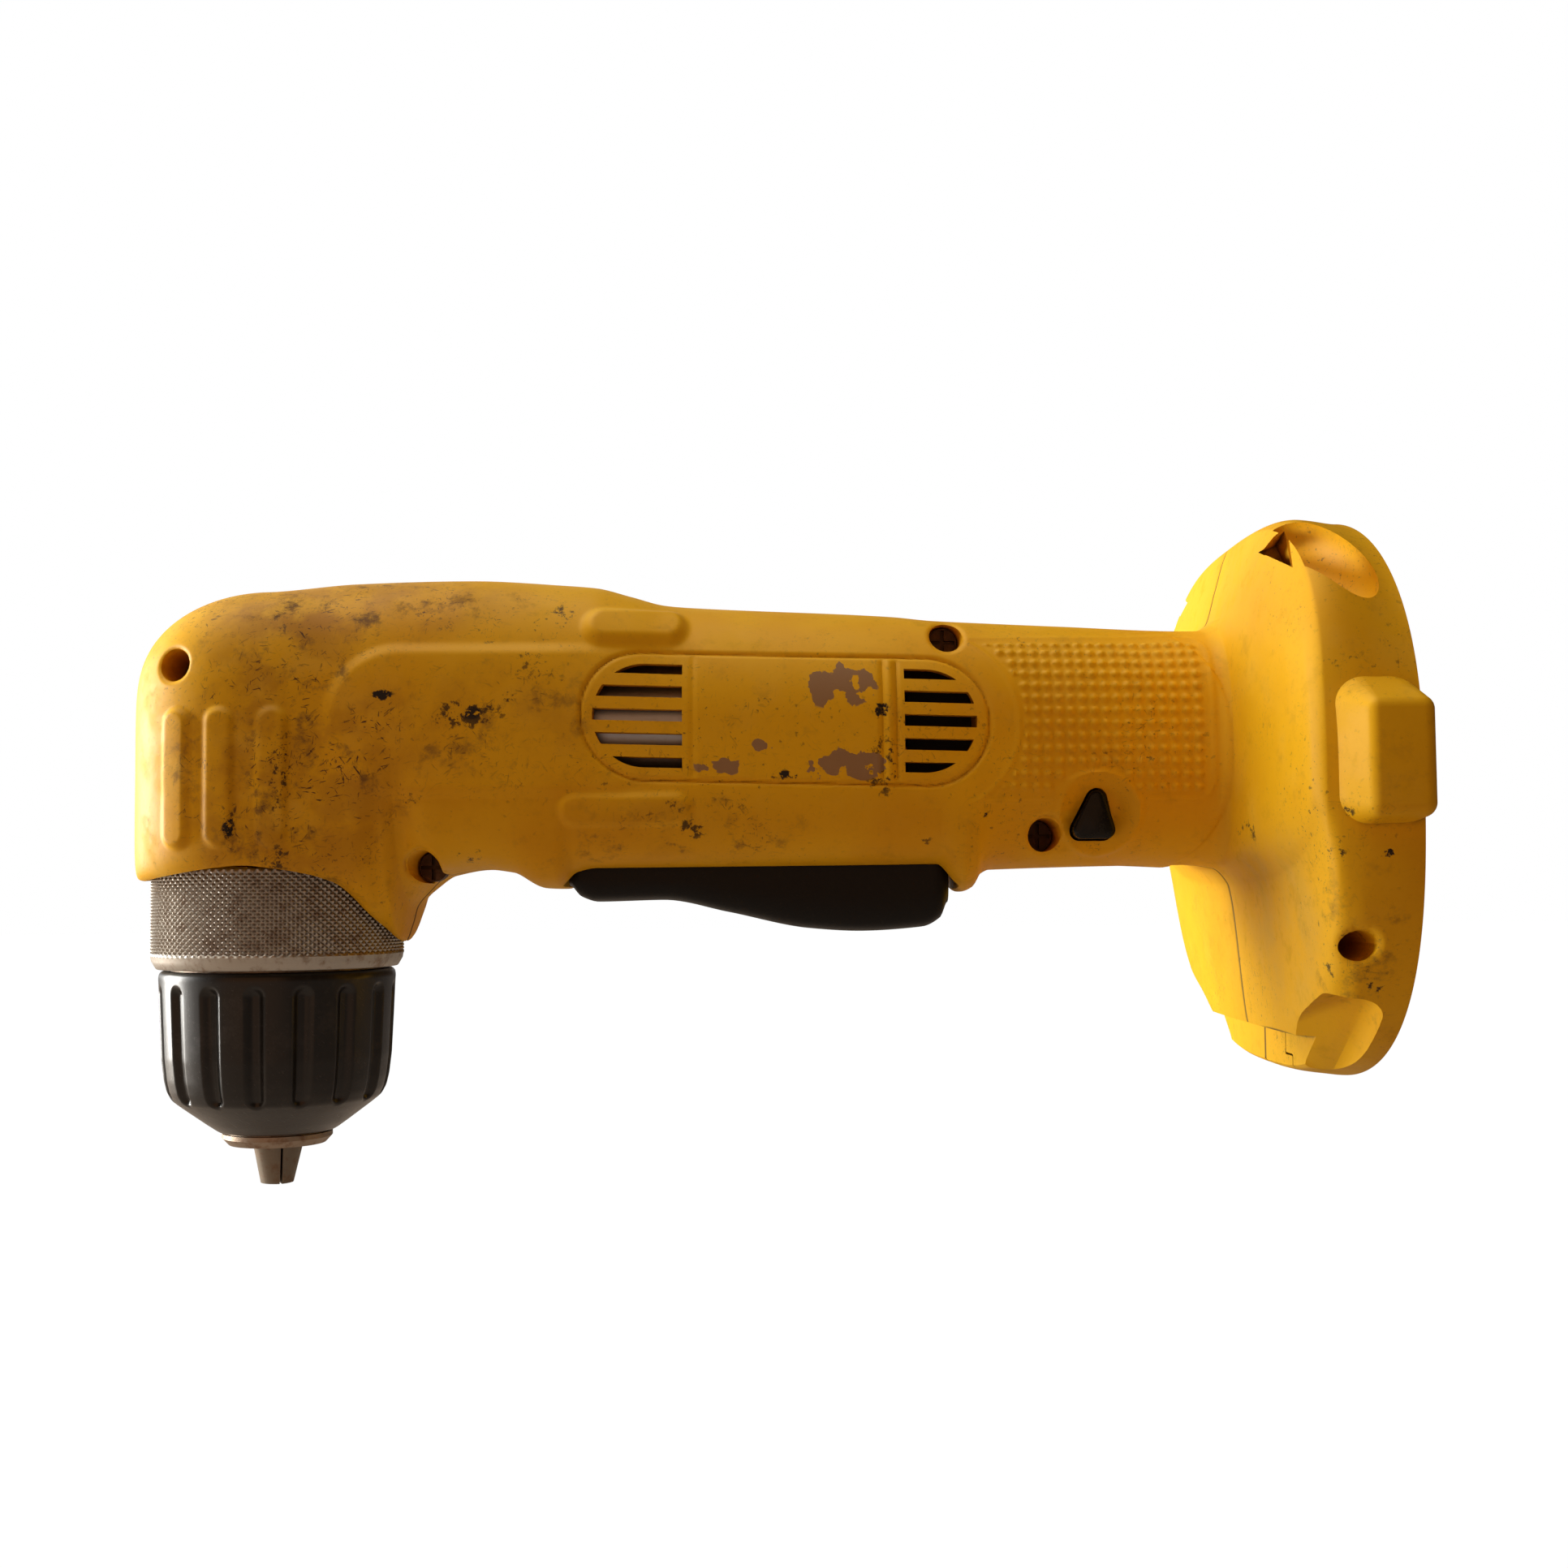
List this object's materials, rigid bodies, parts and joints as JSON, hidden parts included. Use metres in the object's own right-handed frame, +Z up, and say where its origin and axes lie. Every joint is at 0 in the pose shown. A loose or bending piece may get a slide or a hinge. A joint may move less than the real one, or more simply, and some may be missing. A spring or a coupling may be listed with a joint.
{
  "type": "right angle drill",
  "caption": "Right-angle drill with a keyless three-jaw chuck, moulded shell, paddle trigger, direction button, geared motor and an open battery foot.",
  "frame": {"origin": "on the chuck axis at the tips of the closed jaws", "axes": "+X from the head to the battery foot, +Z up, so that the bit points along -Z, and Y across the tool with the shell's parting plane at Y = 0"},
  "size_m": [0.1898, 0.117, 0.1045],
  "materials": {
    "yellow_plastic": "worn satin moulded plastic",
    "black_plastic": "satin black plastic",
    "inner_plastic": "matt black plastic",
    "collar_steel": "knurled bright steel",
    "jaw_steel": "ground steel with light rust",
    "steel": "machined steel",
    "screw_steel": "browned screw steel",
    "can_steel": "plated steel",
    "case_metal": "die-cast",
    "magnet": "ceramic magnet",
    "carbon": "carbon",
    "bronze": "sintered",
    "copper": "copper windings"
  },
  "bodies": {
    "housing": {"housing_left": "yellow_plastic", "housing_right": "yellow_plastic", "housing_screws": "screw_steel", "gear_case": "case_metal", "spindle_bearing": "steel", "spindle_bush": "bronze", "pinion_bearing": "steel", "ring_gear": "steel", "motor_can": "can_steel", "motor_magnets": "magnet", "motor_end_cap": "inner_plastic", "carbon_brushes": "carbon", "switch_body": "inner_plastic", "terminal_block": "inner_plastic", "terminal_blades": "bronze", "motor_leads": "copper", "paddle_pin": "steel"},
    "chuck": {"spindle": "steel", "bevel_gear": "steel", "chuck_body": "jaw_steel", "chuck_collar": "collar_steel", "chuck_screw": "steel"},
    "sleeve": {"chuck_sleeve": "black_plastic", "jaw_nut": "steel"},
    "jaw_1": {"jaw_1": "jaw_steel"},
    "jaw_2": {"jaw_2": "jaw_steel"},
    "jaw_3": {"jaw_3": "jaw_steel"},
    "carrier": {"bevel_pinion": "steel", "planet_carrier": "steel"},
    "planet_1": {"planet_1": "steel"},
    "planet_2": {"planet_2": "steel"},
    "planet_3": {"planet_3": "steel"},
    "armature": {"armature_shaft": "steel", "sun_gear": "steel", "armature_core": "copper", "commutator": "copper", "cooling_fan": "inner_plastic"},
    "paddle": {"paddle": "black_plastic"},
    "plunger": {"switch_plunger": "steel"},
    "direction": {"direction_button": "black_plastic"}
  },
  "joints": [
    {"name": "spindle_spin", "type": "hinge", "parent": "housing", "child": "chuck", "pos_m": [0, 0, 0.06], "axis": [0, 0, 1], "continuous": true},
    {"name": "carrier_spin", "type": "hinge", "parent": "housing", "child": "carrier", "pos_m": [0.02, 0, 0.0722], "axis": [1, 0, 0], "continuous": true},
    {"name": "armature_spin", "type": "hinge", "parent": "housing", "child": "armature", "pos_m": [0.06, 0, 0.0722], "axis": [1, 0, 0], "continuous": true},
    {"name": "planet_1_spin", "type": "hinge", "parent": "carrier", "child": "planet_1", "pos_m": [0.03, 0, 0.0629], "axis": [1, 0, 0], "continuous": true},
    {"name": "planet_2_spin", "type": "hinge", "parent": "carrier", "child": "planet_2", "pos_m": [0.03, 0.00805, 0.07685], "axis": [1, 0, 0], "continuous": true},
    {"name": "planet_3_spin", "type": "hinge", "parent": "carrier", "child": "planet_3", "pos_m": [0.03, -0.00805, 0.07685], "axis": [1, 0, 0], "continuous": true},
    {"name": "sleeve_turn", "type": "hinge", "parent": "chuck", "child": "sleeve", "pos_m": [0, 0, 0.02], "axis": [0, 0, 1], "range_deg": [0, 1800]},
    {"name": "jaw_1_slide", "type": "slide", "parent": "chuck", "child": "jaw_1", "axis": [-0.1353, -0.2006, 0.9703], "range_m": [0, 0.016]},
    {"name": "jaw_2_slide", "type": "slide", "parent": "chuck", "child": "jaw_2", "axis": [0.2413, -0.0169, 0.9703], "range_m": [0, 0.016]},
    {"name": "jaw_3_slide", "type": "slide", "parent": "chuck", "child": "jaw_3", "axis": [-0.1061, 0.2174, 0.9703], "range_m": [0, 0.016]},
    {"name": "paddle_squeeze", "type": "hinge", "parent": "housing", "child": "paddle", "pos_m": [0.054, 0, 0.0519], "axis": [0, -1, 0], "range_deg": [0, 6], "stiffness_Nm_per_rad": 1, "springref_deg": -5.73},
    {"name": "plunger_slide", "type": "slide", "parent": "housing", "child": "plunger", "axis": [0, 0, 1], "range_m": [0, 0.0056]},
    {"name": "direction_slide", "type": "slide", "parent": "housing", "child": "direction", "axis": [0, 1, 0], "range_m": [-0.0025, 0.0025]}
  ],
  "couplings": [
    {"joint": "carrier_spin", "follows": "spindle_spin", "ratio": 1.6},
    {"joint": "armature_spin", "follows": "spindle_spin", "ratio": 8},
    {"joint": "planet_1_spin", "follows": "spindle_spin", "ratio": -4.2667},
    {"joint": "planet_2_spin", "follows": "spindle_spin", "ratio": -4.2667},
    {"joint": "planet_3_spin", "follows": "spindle_spin", "ratio": -4.2667},
    {"joint": "jaw_1_slide", "follows": "sleeve_turn", "m_per_rad": 0.000509},
    {"joint": "jaw_2_slide", "follows": "sleeve_turn", "m_per_rad": 0.000509},
    {"joint": "jaw_3_slide", "follows": "sleeve_turn", "m_per_rad": 0.000509},
    {"joint": "plunger_slide", "follows": "paddle_squeeze", "m_per_rad": 0.0525}
  ]
}
